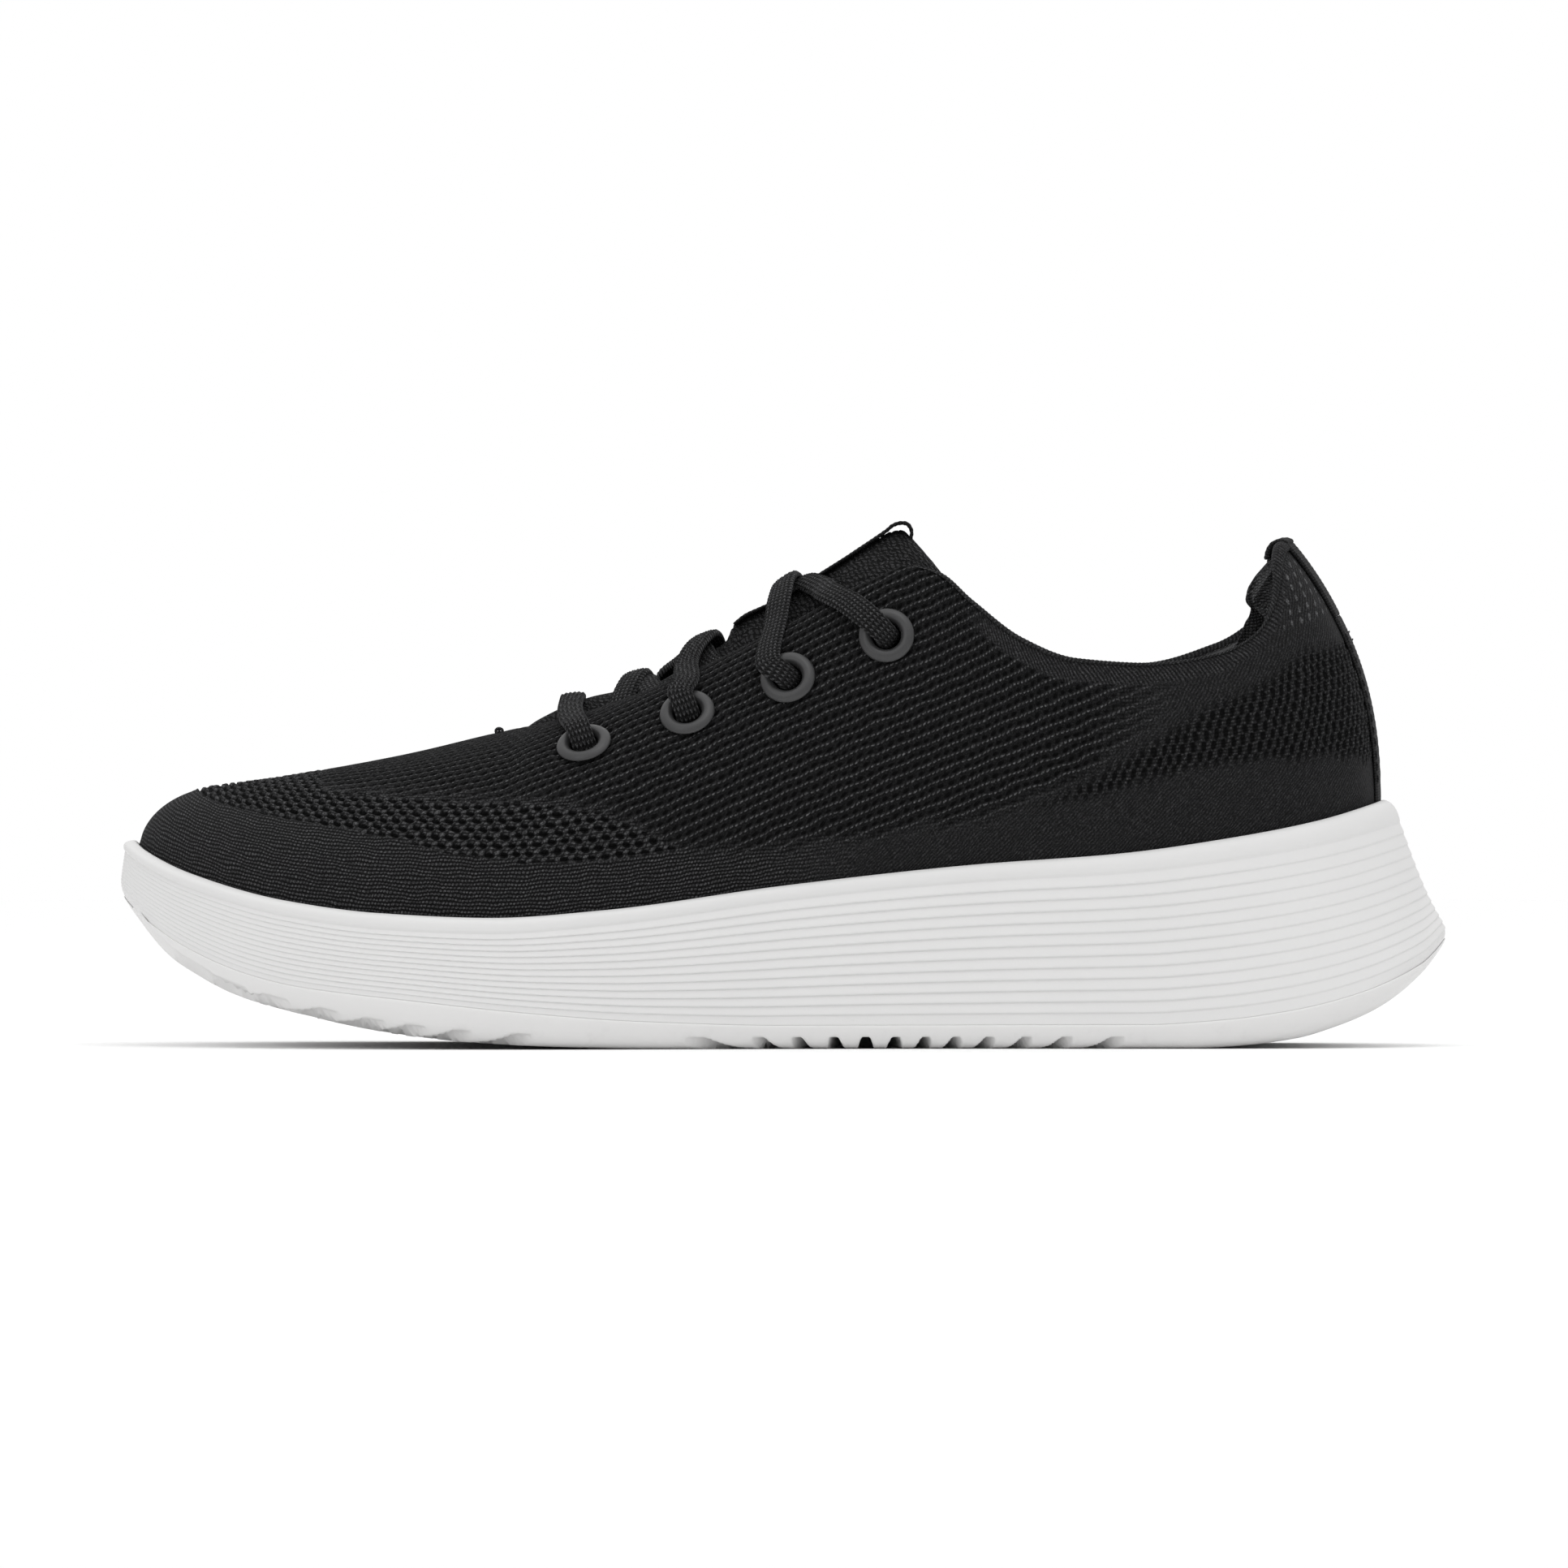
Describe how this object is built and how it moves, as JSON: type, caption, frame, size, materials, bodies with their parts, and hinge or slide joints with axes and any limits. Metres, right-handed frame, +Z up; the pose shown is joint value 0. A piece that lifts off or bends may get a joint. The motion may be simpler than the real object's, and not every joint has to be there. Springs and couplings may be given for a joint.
{
  "type": "running shoe",
  "caption": "Low-cut laced running shoe: knit upper, padded tongue and collar, ribbed foam midsole and grooved rubber outsole.",
  "frame": {"origin": "on the ground under the middle of the shoe's length and width", "axes": "+Z up, +X towards the heel, -X towards the toe, -Y the lateral side, +Y the medial side"},
  "size_m": [0.3002, 0.1077, 0.1185],
  "materials": {
    "outsole_rubber": "moulded, satin, off-white",
    "midsole_foam": "moulded foam with fine ribs, satin skin, off-white",
    "strobel_board": "non-woven board",
    "padding_foam": "open-cell foam",
    "lining_fabric": "brushed knit lining",
    "upper_knit": "engineered knit, near-black, with open-mesh zones",
    "tongue_knit": "coarse knit, near-black",
    "lace_braid": "flat-oval braid",
    "woven_tape": "narrow woven tape",
    "stiffener": "thin thermoplastic sheet",
    "eyelet_metal": "satin dark grey",
    "aglet_plastic": "clear-coated black"
  },
  "bodies": {
    "shoe": {"aglet_lateral": "aglet_plastic", "aglet_medial": "aglet_plastic", "collar_binding": "upper_knit", "collar_pad_lateral": "padding_foam", "collar_pad_medial": "padding_foam", "eyelet_lateral_1": "eyelet_metal", "eyelet_lateral_2": "eyelet_metal", "eyelet_lateral_3": "eyelet_metal", "eyelet_lateral_4": "eyelet_metal", "eyelet_medial_1": "eyelet_metal", "eyelet_medial_2": "eyelet_metal", "eyelet_medial_3": "eyelet_metal", "eyelet_medial_4": "eyelet_metal", "eyelet_washer_lateral_1": "eyelet_metal", "eyelet_washer_lateral_2": "eyelet_metal", "eyelet_washer_lateral_3": "eyelet_metal", "eyelet_washer_lateral_4": "eyelet_metal", "eyelet_washer_medial_1": "eyelet_metal", "eyelet_washer_medial_2": "eyelet_metal", "eyelet_washer_medial_3": "eyelet_metal", "eyelet_washer_medial_4": "eyelet_metal", "eyestay_lateral": "stiffener", "eyestay_medial": "stiffener", "heel_counter": "stiffener", "heel_lining": "lining_fabric", "heel_strip": "woven_tape", "insole_cloth_heel": "lining_fabric", "insole_foam_heel": "padding_foam", "knit_upper": "upper_knit", "midsole_heel": "midsole_foam", "outsole_heel": "outsole_rubber", "shoelace": "lace_braid", "strobel_board_heel": "strobel_board", "throat_bar_tack": "woven_tape"},
    "forefoot": {"insole_cloth_forefoot": "lining_fabric", "insole_foam_forefoot": "padding_foam", "midsole_forefoot": "midsole_foam", "outsole_forefoot": "outsole_rubber", "strobel_board_forefoot": "strobel_board", "toe_puff": "stiffener"},
    "tongue": {"tongue_knit": "tongue_knit", "tongue_foam": "padding_foam", "tongue_lining": "lining_fabric"},
    "tongue_loop": {"tongue_loop": "woven_tape"},
    "heel_loop": {"heel_pull_loop": "woven_tape"}
  },
  "joints": [
    {"name": "toe_flex", "type": "hinge", "parent": "shoe", "child": "forefoot", "pos_m": [-0.08, 0, 0.026], "axis": [0, 1, 0], "range_deg": [0, 25], "deforming": ["knit_upper"]},
    {"name": "tongue_tilt", "type": "hinge", "parent": "shoe", "child": "tongue", "pos_m": [-0.068, 0.0023, 0.064], "axis": [0, 1, 0], "range_deg": [0, 8]},
    {"name": "tongue_loop_lift", "type": "hinge", "parent": "tongue", "child": "tongue_loop", "pos_m": [0.0191, 0, 0.1136], "axis": [0, -1, 0], "range_deg": [0, 15]},
    {"name": "heel_loop_swing", "type": "hinge", "parent": "shoe", "child": "heel_loop", "pos_m": [0.12444, -0.0009, 0.0971], "axis": [-0.548, 0, 0.8365], "range_deg": [-12, 12]}
  ]
}
